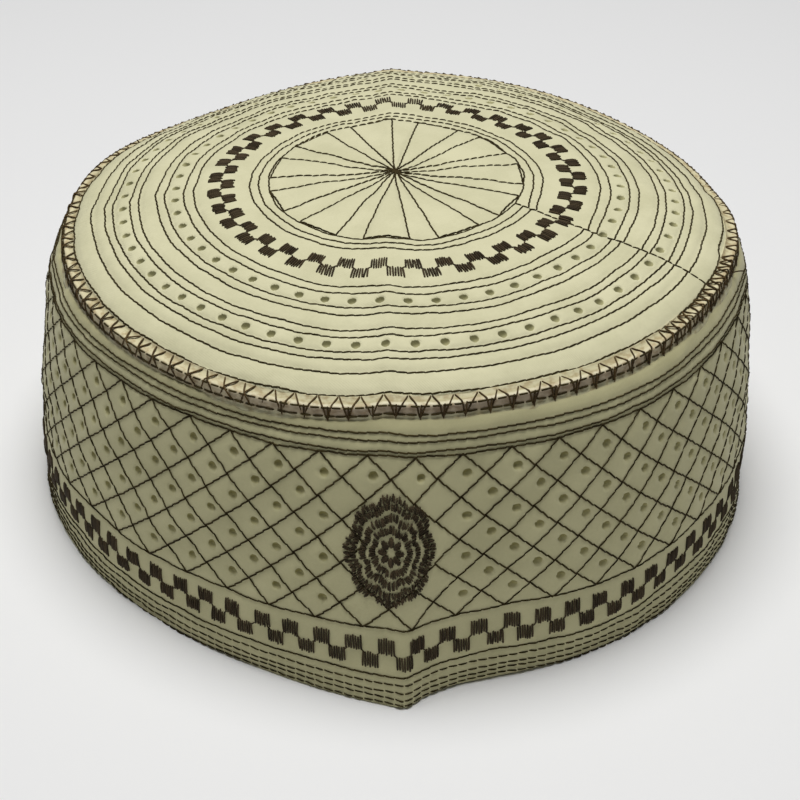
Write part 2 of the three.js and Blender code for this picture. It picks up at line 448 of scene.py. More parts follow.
PART_SHIFT = shift_to_part()


def link_object(name, data):
    thing = bpy.data.objects.new(name, data)
    bpy.context.scene.collection.objects.link(thing)
    return thing


def link_mesh(name, points, faces, material, attributes):
    """A smooth piece of the cap from points in millimetres and blocks of faces."""
    mesh = bpy.data.meshes.new(name)
    corners = [face for block in faces for face in block.tolist()]
    mesh.from_pydata((points * MM + PART_SHIFT).tolist(), [], corners, shade_flat=False)
    for label, values in attributes.items():
        kind, field = ("FLOAT", "value") if values.ndim == 1 else ("FLOAT_VECTOR", "vector")
        layer = mesh.attributes.new(label, kind, "POINT")
        layer.data.foreach_set(field, values.astype(np.float32).ravel())
    mesh.validate()
    mesh.materials.append(material)
    piece = link_object(name, mesh)
    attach(piece, "root")
    return piece


def join_rings(start, count, next_start, next_count):
    """Faces between two closed rings that have as many points, or where one has twice as many or only one."""
    if next_count < count:
        return join_rings(next_start, next_count, start, count)[:, [0, 2, 1]]
    a = np.arange(next_count if count == 1 else count)
    b = (a + 1) % len(a)
    if count == 1:
        return np.stack([np.full(next_count, start), next_start + a, next_start + b], 1)
    if count == next_count:
        return np.stack([start + a, next_start + a, next_start + b, start + b], 1)
    between = next_start + 2 * a + 1
    return np.concatenate([
        np.stack([start + a, next_start + 2 * a, between], 1),
        np.stack([start + a, between, start + b], 1),
        np.stack([start + b, between, next_start + (2 * a + 2) % next_count], 1),
    ])


class Shell:
    """A closed surface made ring by ring, with values kept at its points."""

    def __init__(self):
        self.rings = []
        self.values = {}

    def add(self, ring, **values):
        self.rings.append(ring)
        for label, value in values.items():
            self.values.setdefault(label, []).append(value)

    def link(self, name, material, slot, looped=False):
        """Joins each ring to the next one, and the last to the first where the shell is looped."""
        counts = [len(ring) for ring in self.rings]
        starts = [sum(counts[:index]) for index in range(len(counts))]
        blocks = {4: [], 3: []}
        for pair in range(len(counts) if looped else len(counts) - 1):
            other = (pair + 1) % len(counts)
            block = join_rings(starts[pair], counts[pair], starts[other], counts[other])
            blocks[block.shape[1]].append(block)
        faces = [np.concatenate(found) for found in blocks.values() if found]
        attributes = {label: np.concatenate(rows) for label, rows in self.values.items()}
        return link_mesh(name, np.concatenate(self.rings), faces, material, attributes)


def make_crown_cloth(material):
    """The crown's cloth: fine rings over its top, coarser ones under it."""
    shell = Shell()
    columns = 896

    def add(radius, count, depth=None):
        angle = np.arange(count) * TURN / count
        ring = np.full(count, float(radius))
        point, normal = round_crown_surface(ring, angle)
        if depth is not None:
            point = crown_base(ring, angle) - normal * depth
        shell.add(point, weave=flat(ring * np.cos(angle), ring * np.sin(angle)))

    add(0.0, 1)
    radii = [0.7]
    while radii[-1] < CROWN_EDGE_RADIUS - 0.5:
        by_eyelets = any(abs(radii[-1] - row[0]) < 1.7 for row in CROWN_EYELETS)
        radii.append(radii[-1] + (0.42 if by_eyelets else 0.66))
    for radius in radii:
        add(radius, columns // 4 if radius < 20 else columns // 2 if radius < 40 else columns)
    add(CROWN_EDGE_RADIUS, columns, 0.35)
    add(CROWN_EDGE_RADIUS, columns, CLOTH_THICKNESS - 0.4)
    add(CROWN_EDGE_RADIUS - 0.5, columns, CLOTH_THICKNESS)
    for radius in (CROWN_EDGE_RADIUS - 3.0, 70, 62, 54, 46, 38):
        add(radius, columns // 2, CLOTH_THICKNESS)
    for radius in (28, 18, 9):
        add(radius, columns // 4, CLOTH_THICKNESS)
    add(0.0, 1, CLOTH_THICKNESS)
    return shell.link("crown_cloth", material, "crown_cloth")


def band_columns():
    """Places round the band from the back to the back, closer together where the eyelets are."""
    pattern = np.array([-0.255, -0.16, -0.08, 0.0, 0.08, 0.16, 0.255, 0.5])
    halves = 2 * LATTICE_COLUMNS
    places = (np.arange(halves)[:, None] + pattern).ravel() / halves + LATTICE_START
    return np.sort(from_middle(stretched(places) + EYELET["shift_right"] / BAND_GIRTH))


def make_band_cloth(material):
    """The band's cloth: fine rows down its outside, then the hem, and coarser rows up its inside."""
    around = band_columns()
    shell = Shell()

    def add(down, depth=None, height=None, step=1):
        level = np.full(len(around), float(down))
        point, normal = band_surface(around, level)
        if depth is not None:
            point = band_base(around, level) - normal * depth
        if height is not None:
            point[:, 2] = height
        across, fall, beside, below, has_eyelet = eyelet_cell(around, level)
        shown = has_eyelet if depth is None else 0 * level
        # Painted shade on the band just under the seam: 1 at the seam, fading out by the first line of
        # stitches
        painted_seam_shade = np.full(len(around), max(1 - down / BAND_LINES[0], 0.0) ** 0.4)
        shell.add(point[::step], weave=flat(around * BAND_GIRTH, level * BAND_HEIGHT)[::step],
                  lattice=np.stack([across, fall, shown], -1)[::step], painted_seam_shade=painted_seam_shade[::step])

    for down in [0.0, 0.008, *np.arange(0.016, 0.985, 0.0098), 0.99]:
        add(down)
    add(1.0, 0.12, 0.35)
    add(1.0, 0.45, 0.0)
    add(1.0, CLOTH_THICKNESS - 0.5, 0.0)
    add(1.0, CLOTH_THICKNESS, 0.5, 2)
    for down in (0.95, 0.85, 0.7, 0.55, 0.4, 0.25, 0.14, 0.07, 0.03, 0.012):
        add(down, CLOTH_THICKNESS, None, 2)
    return shell.link("band_cloth", material, "band_cloth", looped=True)


def make_seam_bead(material):
    """The rolled edge over the seam, a little lumpy, and the fold under it."""
    columns = 900
    angle = np.arange(columns) * TURN / columns
    front = np.exp(-(turn_between(angle, math.radians(-82)) / math.radians(36)) ** 4)
    lump = 0.07 * np.sin(104 * angle) + 0.05 * np.sin(61 * angle + 1) + 0.04 * np.sin(233 * angle)
    shell = Shell()

    def add(point, travel, weave):
        shell.add(point, travel=np.full(columns, travel), front=front,
                  weave=flat(angle * 80, np.full(columns, weave)))

    for travel in [*np.linspace(0, 1, 27), 1.08, 1.18, 1.3]:
        level = np.full(columns, travel)
        swell = math.sin(math.pi * travel) ** 0.5 if travel < 1 else 0.0
        rise = lump * swell + 0.05 - 1.2 * max(travel - 1, 0)
        add(seam_base(angle, level) + seam_normal(angle, level) * rise[:, None], travel, travel * 7)
    for out, drop in ((1.6, -2.6), (0.8, -1.9)):
        point = crown_base(np.full(columns, EDGE_RING + out), angle)
        point[:, 2] += drop
        add(point, 1.0, 0.0)
    return shell.link("seam_bead", material, "piping_cloth", looped=True)


# Threads

def make_tubes(name, batches, material, sides=5):
    """Many threads in one mesh, from batches of their points, normals and radii.
    Each is a closed tube over its row of points, pointed at both ends."""
    points, normals, radii = [np.concatenate(rows) for rows in zip(*batches)]
    threads, count = points.shape[:2]
    rings = count - 2
    tangent = unit(points[:, 2:] - points[:, :-2])[:, :, None, :]
    side = unit(np.cross(tangent, normals[:, 1:-1, None, :]))
    turn = (np.arange(sides) * TURN / sides)[:, None]
    ring = np.cos(turn) * side + np.sin(turn) * np.cross(side, tangent)
    body = points[:, 1:-1, None, :] + ring * radii[:, :, None, None]
    all_points = np.concatenate([body.reshape(threads, -1, 3), points[:, :1], points[:, -1:]], 1)
    step = np.arange(sides)
    following = (step + 1) % sides
    rows = np.arange(rings - 1)[:, None] * sides
    quads = np.stack([rows + step, rows + following, rows + sides + following, rows + sides + step], -1)
    head = rings * sides
    last = head - sides
    near_cap = np.stack([0 * step + head, following, step], -1)
    far_cap = np.stack([0 * step + head + 1, last + step, last + following], -1)
    base = (np.arange(threads) * (head + 2))[:, None, None]
    faces = [(base + block.reshape(-1, width)).reshape(-1, width)
             for block, width in ((quads, 4), (np.stack([near_cap, far_cap]), 3))]
    along = np.linalg.norm(np.diff(points, axis=1), axis=2)
    travel = np.concatenate([np.zeros((threads, 1)), np.cumsum(along, 1)], 1)
    strand = np.concatenate([np.repeat(travel[:, 1:-1], sides, 1), travel[:, :1], travel[:, -1:]], 1)
    shade = np.repeat(random.random(threads), head + 2)
    return link_mesh(name, all_points.reshape(-1, 3), faces, material,
                     {"strand": strand.ravel(), "shade": shade})


# Along one stitch: shares of its length, height over the cloth, and share of the thread's radius
STITCH_SHARES = np.array([0.0, 0.06, 0.3, 0.7, 0.94, 1.0])
STITCH_LIFT = np.array([-0.04, 0.03, 0.14, 0.14, 0.03, -0.04])
STITCH_WIDTH = np.array([0.9, 1.0, 1.0, 0.9])


def lay_threads(surface, starts, ends, radius=LINE_THREAD, lift=1.0, raise_by=0.0):
    """Stitches laid over a surface between pairs of places on it."""
    shares = STITCH_SHARES[None, :, None]
    starts = np.array(starts)[:, None, :]
    places = starts * (1 - shares) + np.array(ends)[:, None, :] * shares
    point, normal = surface(places[..., 0], places[..., 1])
    height = STITCH_LIFT * lift + raise_by
    height[[0, -1]] = STITCH_LIFT[0]
    return point + normal * height[None, :, None], normal, np.tile(STITCH_WIDTH * radius, (len(places), 1))


def gap_on_crown(place, heading):
    """The stitches show gaps between them towards the back, where they run across."""
    return -0.16 + 0.38 * np.clip(0.45 + place[:, 1] / 50, 0, 1) * np.abs(heading[:, 0]) ** 2


def gap_on_band(place, heading):
    """The stitches that run down the sides of the band show gaps between them."""
    side = np.clip((np.abs(np.sin(TURN * place[:, 0])) - 0.72) / 0.2, 0, 1)
    return -0.16 + 0.5 * side * np.abs(heading[:, 1]) ** 2


# What is sewn on: its surface, a millimetre in its own places, the length of a stitch, the gaps
SEWN_CROWN = (crown_surface, np.array([1.0, 1.0]), CROWN_PITCH, gap_on_crown)
SEWN_BAND = (band_surface, ON_BAND, BAND_PITCH, gap_on_band)


def running_stitches(sewn, path, length, slant=0.1, gap=0.0):
    """A line of stitches along a path given by shares, with the slight slant of machine sewing."""
    surface, scale, pitch, gap_at = sewn
    count = max(int(round(length / pitch)), 1)
    holes = np.arange(count + 1) + np.concatenate([[0], random.normal(0, 0.05, count - 1), [0]])
    holes = holes / count
    hole = path(holes)
    ahead = path(np.minimum(holes + 0.01 / count, 1.0 + 1e-9))
    behind = path(np.maximum(holes - 0.01 / count, -1e-9))
    heading = unit((ahead - behind) / scale)
    across = np.stack([-heading[:, 1], heading[:, 0]], -1)
    drift = random.normal(0, 0.048, count + 1)[:, None]
    gaps = heading[:-1] * (gap_at(hole, heading) + gap)[:-1, None]
    starts = hole[:-1] + (across[:-1] * (drift[:-1] - slant) + gaps) * scale
    ends = hole[1:] + (across[1:] * (drift[1:] + slant) - gaps) * scale
    return lay_threads(surface, starts, ends)


def arc_path(reach_at, first=0.0, last=TURN):
    """A path round the middle of the crown, at a distance that depends on the direction."""
    def path(share):
        angle = first + (last - first) * share
        return polar(reach_at(angle, share), angle)
    return path


def bent_path(corners):
    corners = np.array(corners, float)
    steps = np.linalg.norm(np.diff(corners, axis=0), axis=1)
    marks = np.concatenate([[0], np.cumsum(steps)]) / steps.sum()
    return lambda share: np.stack([np.interp(share, marks, corners[:, axis]) for axis in range(2)], -1)


def ring_path(ring, index):
    """A ring of stitches that starts and ends at the join, with its kink on the left
    and its slack on the right."""
    step_out = 1.1 * max(1 - (ring - CROWN_RINGS[0]) / 38, 0.1)
    start = join_angle(ring) + 0.2 / ring

    def reach_at(angle, share):
        kink = turn_between(angle, math.radians(183))
        slack = turn_between(angle, math.radians(-29))
        bulge = 0.85 * np.exp(-np.abs(kink) / np.where(kink < 0, 0.05, 0.13)) + 0.7 * bell(slack, 0.16)
        waver = 0.09 * np.sin(13 * angle + index) + 0.06 * np.sin(29 * angle + 2 * index)
        return ring + step_out * np.exp(-share / 0.012) + ring / EDGE_RING * bulge + waver

    return arc_path(reach_at, start, start + TURN - 0.4 / ring)


def edge_reach(angle, share):
    directions, distances = np.array(EDGE_WANDER).T
    beyond = EDGE_RING - 0.1
    reach = np.interp(turn_between(angle, 0.0), np.radians(directions), distances, left=beyond, right=beyond)
    bulge = 0.35 * bell(turn_between(angle, math.radians(187)), 0.2)
    return reach + bulge + 0.1 * np.sin(17 * angle) + 0.08 * np.sin(41 * angle + 1)


def wedge_ring_reach(angle, share):
    return WEDGE_RING + 0.15 + 0.12 * (np.sin(9 * angle) + 0.7 * np.sin(23 * angle))


def make_crown_stitching(material):
    batches = []

    def sew(path, length, gap=0.0):
        batches.append(running_stitches(SEWN_CROWN, path, length, gap=gap))

    for middle, *edges in wedges():
        for line in edges:
            beyond = random.uniform(-1.2, 0.2)
            meeting = polar(random.uniform(2.0, 2.8), middle + (line - middle) * 0.3)
            sew(bent_path([polar(beyond, middle), meeting, polar(WEDGE_RING, line)]), WEDGE_RING)
        sew(bent_path([polar(WEDGE_RING - 0.1, line) for line in edges]), WEDGE_RING * WEDGE_WIDTH)
    sew(arc_path(wedge_ring_reach), WEDGE_RING * TURN)
    for knot in range(5):
        turn = random.uniform(0, TURN)
        sew(bent_path([polar(1.0, turn), polar(1.0, turn + math.pi + random.normal(0, 0.5))]), 2.0)
    for index, ring in enumerate(CROWN_RINGS):
        sew(ring_path(ring, index), ring * TURN)
    join = np.linspace(WEDGE_RING, EDGE_RING + 0.3, 5)
    sew(bent_path(polar(join, join_angle(join))), EDGE_RING - WEDGE_RING, 0.2)
    sew(arc_path(edge_reach), EDGE_RING * TURN)
    return make_tubes("crown_stitching", batches, material, sides=4)


# The middles of the threads of one chequer block, as shares of its width
SATIN_PLACES = (np.arange(SATIN_THREADS) + 0.5) / SATIN_THREADS - 0.5


def make_chequer(name, surface, count, radius, material, centre_at, thread_at, link_at):
    """Two staggered rows of satin blocks, and the thin threads that link their corners."""
    blocks = []
    links = []
    for block in range(count):
        for row in range(2):
            centre = centre_at(block, row)
            blocks.extend(thread_at(centre, row, place) for place in SATIN_PLACES)
        links.extend(link_at(block, side) for side in (-1, 1))
    blocks = np.array(blocks)
    links = np.array(links)
    return make_tubes(name, [
        lay_threads(surface, blocks[:, 0], blocks[:, 1], radius, 1.3, SATIN_HEIGHT),
        lay_threads(surface, links[:, 0], links[:, 1], LINK_THREAD, 0.8),
    ], material)


def make_crown_chequer(material):
    start, rows, width, count = [CROWN_CHEQUER[key] for key in ("start", "rows", "width", "count")]
    pitch = TURN / count

    def centre_at(block, row):
        return start - block * pitch + row * pitch / 2 + random.normal(0, 0.004)

    def thread_at(centre, row, place):
        angle = centre + place * pitch * width
        low = rows[row] + random.uniform(-0.3, 0.25)
        high = rows[row + 1] + random.uniform(-0.25, 0.3)
        lean = random.normal(0.0015, 0.0015)
        return polar(low, angle - lean), polar(high, angle + lean)

    def link_at(block, side):
        angle = start - block * pitch - side * pitch * 0.27
        return polar(rows[1] - 0.5, angle + side * 0.012), polar(rows[1] + 0.6, angle - side * 0.02)

    return make_chequer(
        "crown_chequer", crown_surface, count, CROWN_SATIN, material, centre_at, thread_at, link_at)


def make_band_stitching(material):
    batches = []
    for index, level in enumerate(BAND_LINES):
        phase = index * 1.7

        def path(share):
            waver = np.sin(TURN * 11 * share + phase) + 0.6 * np.sin(TURN * 27 * share + 2 * phase)
            return np.stack([share, line_down(level, share) + 0.1 / BAND_HEIGHT * waver], -1)

        gap = 0.25 if level > HEM_LINES_FROM else 0.0
        batches.append(running_stitches(SEWN_BAND, path, BAND_GIRTH, gap=gap))
    return make_tubes("band_stitching", batches, material, sides=4)


def in_motif(place):
    """How far out a place of the band lies in the front motif, where 1 is the motif's edge."""
    beside = from_middle(place[0], MOTIF["around"]) * BAND_GIRTH / MOTIF["half_width"]
    below = (place[1] - MOTIF["down"]) * BAND_HEIGHT / MOTIF["half_height"]
    return math.hypot(beside, below)


def make_lattice(material):
    """The crossing lines of the band, cell by cell, left out behind the motif."""
    batches = []
    halves = 2 * LATTICE_ROWS

    def corner(columns, row):
        around = stretched(columns / LATTICE_COLUMNS + LATTICE_START)
        return around, lattice_down(row / halves, around)

    for row in range(halves):
        for column in range(LATTICE_COLUMNS):
            for side in (-0.5, 0.5):
                place = column + row % 2 / 2
                ends = np.array([corner(place, row), corner(place + side, row + 1)])
                if in_motif(ends.mean(0)) >= 0.8:
                    batches.append(running_stitches(
                        SEWN_BAND, bent_path(ends), math.hypot(CELL_WIDTH, CELL_HEIGHT) / 2, slant=0.13))
    return make_tubes("lattice_stitching", batches, material, sides=4)


def make_band_chequer(material):
    ragged = 0.35 / BAND_HEIGHT

    def centre_at(block, row):
        return stretched((block + CHEQUER_FIRST + 0.5 * row) / BAND_BLOCKS + PHASE + random.normal(0, 0.0003))

    def thread_at(centre, row, place):
        across = centre + place * CHEQUER_WIDTH / BAND_BLOCKS
        lean = random.normal(0.07, 0.04) / BAND_GIRTH
        top, foot = [line_down(level, across) + random.uniform(-ragged, ragged)
                     for level in CHEQUER_ROWS[row:row + 2]]
        return (across - lean, top), (across + lean, foot)

    def link_at(block, side):
        across = stretched((block + CHEQUER_FIRST + side * 0.25) / BAND_BLOCKS + PHASE)
        middle = np.array([across, line_down(CHEQUER_ROWS[1], across)])
        return middle - [side * 0.3, 0.4] * ON_BAND, middle + [side * 0.4, 0.4] * ON_BAND

    return make_chequer(
        "band_chequer", band_surface, BAND_BLOCKS, BAND_SATIN, material, centre_at, thread_at, link_at)


# Rings of the motif: near edge, far edge, how deep the petals cut into each, stitches
MOTIF_RINGS = [(0.88, 1.0, 0.11, 0.12, 120), (0.74, 0.87, 0.1, 0.11, 108),
               (0.53, 0.67, 0.08, 0.1, 84), (0.33, 0.46, 0.04, 0.05, 56)]


def make_front_motif(material):
    """A generic upright oval medallion: rings of short satin stitches around an eight-petalled rosette."""
    petals = MOTIF["petals"]
    size = np.array([MOTIF["half_width"], -MOTIF["half_height"]]) * ON_BAND
    centre = np.array([MOTIF["around"], MOTIF["down"]])
    starts = []
    ends = []

    def add(angle, inner, outer, lean=0.0):
        starts.append(polar(inner, angle - lean)[::-1] * size + centre)
        ends.append(polar(outer, angle + lean)[::-1] * size + centre)

    def petal_edge(angle, reach, depth):
        return reach - depth + depth * abs(math.cos(petals * angle / 2)) ** 0.7

    for inner, outer, inner_depth, outer_depth, count in MOTIF_RINGS:
        for index in range(count):
            angle = TURN * (index + random.normal(0, 0.15)) / count
            start = petal_edge(angle, inner, inner_depth) + random.uniform(-0.02, 0.02)
            end = petal_edge(angle, outer, outer_depth) + random.uniform(-0.03, 0.03)
            add(angle, start, end, random.normal(0, 0.01))
    for petal in range(petals):
        for place in (-1.0, -0.5, 0.0, 0.5, 1.0):
            angle = TURN * petal / petals + place * 0.24
            add(angle, 0.08 + 0.03 * abs(place), 0.28 - 0.07 * place * place)
    return make_tubes(
        "front_motif_threads", [lay_threads(band_surface, starts, ends, MOTIF_SATIN, 1.5, 0.1)], material)


def make_seam_stitching(material):
    """Two lines of dark stitches along the seam, above and below its fold."""
    batches = []
    for travel, pitch, part in SEAM_LINES:
        count = int(round(TURN * 81 / pitch))
        angle = (np.arange(count) + random.normal(0, 0.08, count)) * TURN / count
        places = STITCH_SHARES[None, :] - 0.5
        sweep = angle[:, None] + places * part * TURN / count
        level = travel + random.normal(0, 0.01, (count, 1)) * places
        normal = seam_normal(sweep, level)
        points = seam_base(sweep, level) + normal * (STITCH_LIFT * 0.9 + 0.06)[None, :, None]
        batches.append((points, normal, np.tile(STITCH_WIDTH * SEAM_THREAD, (count, 1))))
    return make_tubes("seam_line_stitching", batches, material)


def make_overstitch(material):
    """The zigzag over the seam: plain at the front, crossed on the left, doubled and slack on the right."""
    shares = np.linspace(0, 1, 12)
    batches = []

    def leg(start_angle, start_travel, end_angle, end_travel, slack=0.0, bow=0.0):
        """A thread drawn between its two holes over the corner of the seam."""
        bend = 0.42 if start_travel > end_travel else 0.58
        angles = np.array([start_angle, start_angle + (end_angle - start_angle) * bend, end_angle])
        travels = np.array([start_travel, 0.5, end_travel])
        normal = seam_normal(angles, travels)
        anchors = seam_base(angles, travels) + normal * np.array([[-0.1], [0.25], [-0.1]])
        points, facing = [
            np.stack([np.interp(shares, [0.0, bend, 1.0], rows[:, axis]) for axis in range(3)], 1)
            for rows in (anchors, normal)
        ]
        side = unit(np.cross(points[-1] - points[0], facing[5]))
        swing = np.sin(math.pi * shares)[:, None]
        points = points + facing * swing * (slack + 0.08) + side * swing * bow
        batches.append((points[None], facing[None], np.full((1, 10), ZIGZAG_THREAD)))

    holes = np.arange(SEAM_TEETH) + random.normal(0, 0.04, SEAM_TEETH)
    holes = math.radians(FIRST_TOOTH) + TURN * holes / SEAM_TEETH
    holes = np.append(holes, holes[0] + TURN)
    depths = 1.02 + random.normal(0, 0.02, SEAM_TEETH)
    depths = np.append(depths, depths[0])
    for tooth in range(SEAM_TEETH):
        centre, following = holes[tooth:tooth + 2]
        foot, next_foot = depths[tooth:tooth + 2]
        pitch = following - centre
        right = near(centre, -28, 26)
        peak = centre + (0.5 - 0.26 * right + random.normal(0, 0.04)) * pitch
        crest = -0.06 + 0.14 * near(centre, -70, 20) + 0.6 * near(centre, 85, 50) + 0.3 * near(centre, 20, 28)
        bow = random.normal(0, 0.04 + 0.2 * right)
        if near(centre, -152, 40) > 0.4:
            far = centre + random.normal(0.8, 0.12) * pitch
            leg(centre, foot, far, -0.02, 0.3, random.normal(0.25, 0.2))
            leg(centre + 0.06 * pitch, -0.02, far, foot, 0.4, random.normal(0.25, 0.2))
        else:
            leg(centre, foot, peak, crest, 0.0, bow)
            leg(peak, crest, following, next_foot, 0.0, -bow)
            leg(following, next_foot - 0.06, following + 0.03 * pitch, next_foot + 0.07, 0.03)
        if near(centre, -36, 13) > 0.4:
            middle = centre + 0.45 * pitch
            leg(middle, foot, middle + 0.3 * pitch, 0.0, 0.25, 0.35)
            leg(middle + 0.3 * pitch, 0.0, middle + pitch, foot, 0.25, -0.3)
    return make_tubes("seam_overstitch", batches, material)


def make_loose_end(material):
    """A cut thread end that sticks out of the seam on the right."""
    shares = np.linspace(0, 1, 12)
    angle = math.radians(-22) + 0.012 * np.sin(3 * shares)
    travel = np.full(12, 0.9)
    points = seam_base(angle, travel) + seam_normal(angle, travel) * (3.4 * shares - 0.2)[:, None]
    points[:, 2] += 0.9 * shares ** 2
    upwards = np.tile([0.0, 0.0, 1.0], (1, 12, 1))
    return make_tubes("loose_thread_end", [(points[None], upwards, np.full((1, 10), 0.17))], material)


# Materials

WHITE = (1.0, 1.0, 1.0)


class Value:
    """An output in a material's nodes, which adds, subtracts and multiplies as plain numbers do."""

    def __init__(self, socket):
        self.socket = socket
        self.tree = socket.id_data

    def work(self, operation, *values):
        return new_value(self.tree, "ShaderNodeMath", dict(enumerate(values)), operation=operation)

    def __add__(self, other):
        return self.work("ADD", self, other)

    def __sub__(self, other):
        return self.work("SUBTRACT", self, other)

    def __rsub__(self, other):
        return self.work("SUBTRACT", other, self)

    def __mul__(self, other):
        return self.work("MULTIPLY", self, other)


def fill(node, inputs):
    """Gives a node its inputs, by name or number: other values, plain numbers or colours."""
    for key, value in inputs.items():
        if isinstance(value, Value):
            value.tree.links.new(value.socket, node.inputs[key])
        elif isinstance(value, tuple):
            node.inputs[key].default_value = (*value, 1)
        else:
            node.inputs[key].default_value = value


def new_value(tree, kind, inputs, output=0, **settings):
    """One output of a new node."""
    node = tree.nodes.new(kind)
    for key, value in settings.items():
        setattr(node, key, value)
    fill(node, inputs)
    return Value(node.outputs[output])


def new_material(name):
    material = bpy.data.materials.new(name)
    material.use_nodes = True
    return material, material.node_tree, material.node_tree.nodes["Principled BSDF"]


def attribute(tree, name, output="Fac"):
    return new_value(tree, "ShaderNodeAttribute", {}, output, attribute_name=name)


def noise(vector, scale, detail):
    inputs = {"Vector": vector, "Scale": scale, "Detail": detail}
    return new_value(vector.tree, "ShaderNodeTexNoise", inputs, "Fac")


def ramp(factor, stops):
    """A colour that goes through stops as a value rises."""
    colour = new_value(factor.tree, "ShaderNodeValToRGB", {0: factor})
    elements = colour.socket.node.color_ramp.elements
    while len(elements) < len(stops):
        elements.new(0.5)
    for element, (position, tint) in zip(elements, stops):
        element.position = position
        element.color = (*tint, 1)
    return colour


def mix(share, first, second, how="MIX"):
    inputs = {0: share, 6: first, 7: second}
    return new_value(second.tree, "ShaderNodeMix", inputs, 2, data_type="RGBA", blend_type=how)


def split(vector):
    parts = new_value(vector.tree, "ShaderNodeSeparateXYZ", {0: vector})
    return [Value(part) for part in parts.socket.node.outputs]


def ribs(value, pitch):
    """Even waves along a value, from -1 to 1."""
    return value.work("SINE", value * (TURN / pitch))


def centred(value):
    """Where a value lies between the nearest halves, from -0.5 to 0.5."""
    return value.work("FRACT", value) - 0.5


def length_of(first, second):
    return first.work("SQRT", first * first + second * second)


def dress(shader, height, strength, depth, inputs):
    """Sets a surface's inputs, and bumps of a strength and a depth in metres that follow a height."""
    bump = {"Strength": strength, "Distance": depth, "Height": height}
    fill(shader, {**inputs, "Normal": new_value(height.tree, "ShaderNodeBump", bump)})


def painted_eyelet_shade(beside, above, dark, light):
    """Painted shade in an eyelet, which is darkest under its upper edge."""
    inside = (EYELET["radius"] - length_of(beside, above)) * EYELET["sharpness"] + 0.5
    inside = inside.work("MINIMUM", inside.work("MAXIMUM", inside, 0.0), 1.0)
    lean = above + beside * -0.35
    return mix(inside, WHITE, ramp(lean * 0.4 + 0.5, [(0.15, light), (0.6, dark)]))


def crown_eyelet_places(tree):
    """How far each point of the crown lies beside and above the nearest eyelet of each ring."""
    x, y, height = split(attribute(tree, "weave", "Vector"))
    radius = length_of(x, y)
    angle = y.work("ARCTAN2", y, x)
    for ring, count, phase in CROWN_EYELETS:
        turn = centred((angle - phase) * (count / TURN) + 0.5)
        yield turn * (ring * TURN / count), ring - radius


def band_eyelet_places(tree):
    """The same for the band and the eyelet of each lattice cell that has one."""
    across, fall, shown = split(attribute(tree, "lattice", "Vector"))
    slant = centred(across + fall)
    counter = centred(across - fall)
    beside = (slant + counter) * (CELL_WIDTH / 2) - EYELET["shift_right"]
    below = (slant - counter) * (CELL_HEIGHT / 2)
    yield beside + (1.0 - shown) * FAR, -EYELET["shift_up"] - below


def cotton(name, light, dark, eyelets, pit_light, pit_dark):
    """Fine cotton twill: slow stains of tone, a diagonal weave, small fuzz, painted shade in the eyelets and
    painted shade under the seam.
    """
    material, tree, shader = new_material(name)
    x, y, height = split(attribute(tree, "weave", "Vector"))
    threads = ribs(x + y, 0.62) * 0.6 + ribs(x - y, 0.48) * 0.4
    body = new_value(tree, "ShaderNodeTexCoord", {}, "Object")
    slow = noise(body, 90, 4)
    fine = noise(body, 1600, 2)
    colour = ramp(slow * 0.75 + fine * 0.25 + threads * 0.03, [(0.34, dark), (0.62, light)])
    # Painted shade: the band's cotton is darkened just under the seam
    painted_seam_shade = ramp(attribute(tree, "painted_seam_shade"), [(0.0, WHITE), (1.0, (0.86, 0.85, 0.82))])
    colour = mix(1.0, colour, painted_seam_shade, "MULTIPLY")
    # Each eyelet is darkened by painted shade, darkest under its upper edge
    for beside, above in eyelets(tree):
        colour = mix(1.0, colour, painted_eyelet_shade(beside, above, pit_dark, pit_light), "MULTIPLY")
    surface = {"Base Color": colour, "Roughness": 0.85, "Sheen Weight": 0.15, "Specular IOR Level": 0.25}
    dress(shader, threads * 0.5 + fine * 1.2, 0.35, 0.00008, surface)
    return material


def seam_cloth(name):
    """The turned edge: cream with tan patches, a painted highlight along the top of its corner, painted shade
    in the hollow beside the crown's stitch line and where the fold meets the band, and at the front brown on
    the fold below it.
    """
    material, tree, shader = new_material(name)
    travel = attribute(tree, "travel")
    weave = attribute(tree, "weave", "Vector")
    # At the front: painted shade in the hollow beside the stitch line, a painted highlight on the corner,
    # then the brown fold and the band's colour
    front = ramp(travel, [(0.0, (0.6, 0.56, 0.34)), (0.3, (0.5, 0.45, 0.26)), (0.5, (0.86, 0.8, 0.56)),
                          (0.58, (0.64, 0.54, 0.36)), (0.64, (0.46, 0.37, 0.25)), (0.88, (0.42, 0.34, 0.22)),
                          (0.93, (0.55, 0.52, 0.32))])
    # On the sides: painted shade in the groove at the stitch line, a painted highlight on top of the roll,
    # and painted shade where the fold meets the band
    sides = ramp(travel, [(0.0, (0.38, 0.33, 0.2)), (0.1, (0.6, 0.55, 0.33)), (0.55, (0.78, 0.7, 0.45)),
                          (0.85, (0.6, 0.52, 0.32)), (0.95, (0.3, 0.24, 0.14)), (1.0, (0.55, 0.52, 0.32))])
    patches = ramp(noise(weave, 0.5, 3), [(0.38, (0.55, 0.42, 0.27)), (0.55, WHITE)])
    colour = mix(0.6, mix(attribute(tree, "front"), sides, front), patches, "MULTIPLY")
    surface = {"Base Color": colour, "Roughness": 0.6, "Sheen Weight": 0.1}
    dress(shader, noise(weave, 2.2, 3), 0.5, 0.00015, surface)
    return material


def thread(name, dark, light, roughness):
    """Twisted thread: fine slanting turns along each strand, each strand a little lighter or darker."""
    material, tree, shader = new_material(name)
    twist = ribs(attribute(tree, "strand"), 0.42)
    colour = ramp(attribute(tree, "shade") * 0.7 + twist * 0.15, [(0.0, dark), (0.8, light)])
    surface = {"Base Color": colour, "Roughness": roughness, "Specular IOR Level": 0.2}
    dress(shader, twist, 0.5, 0.00006, surface)
    return material


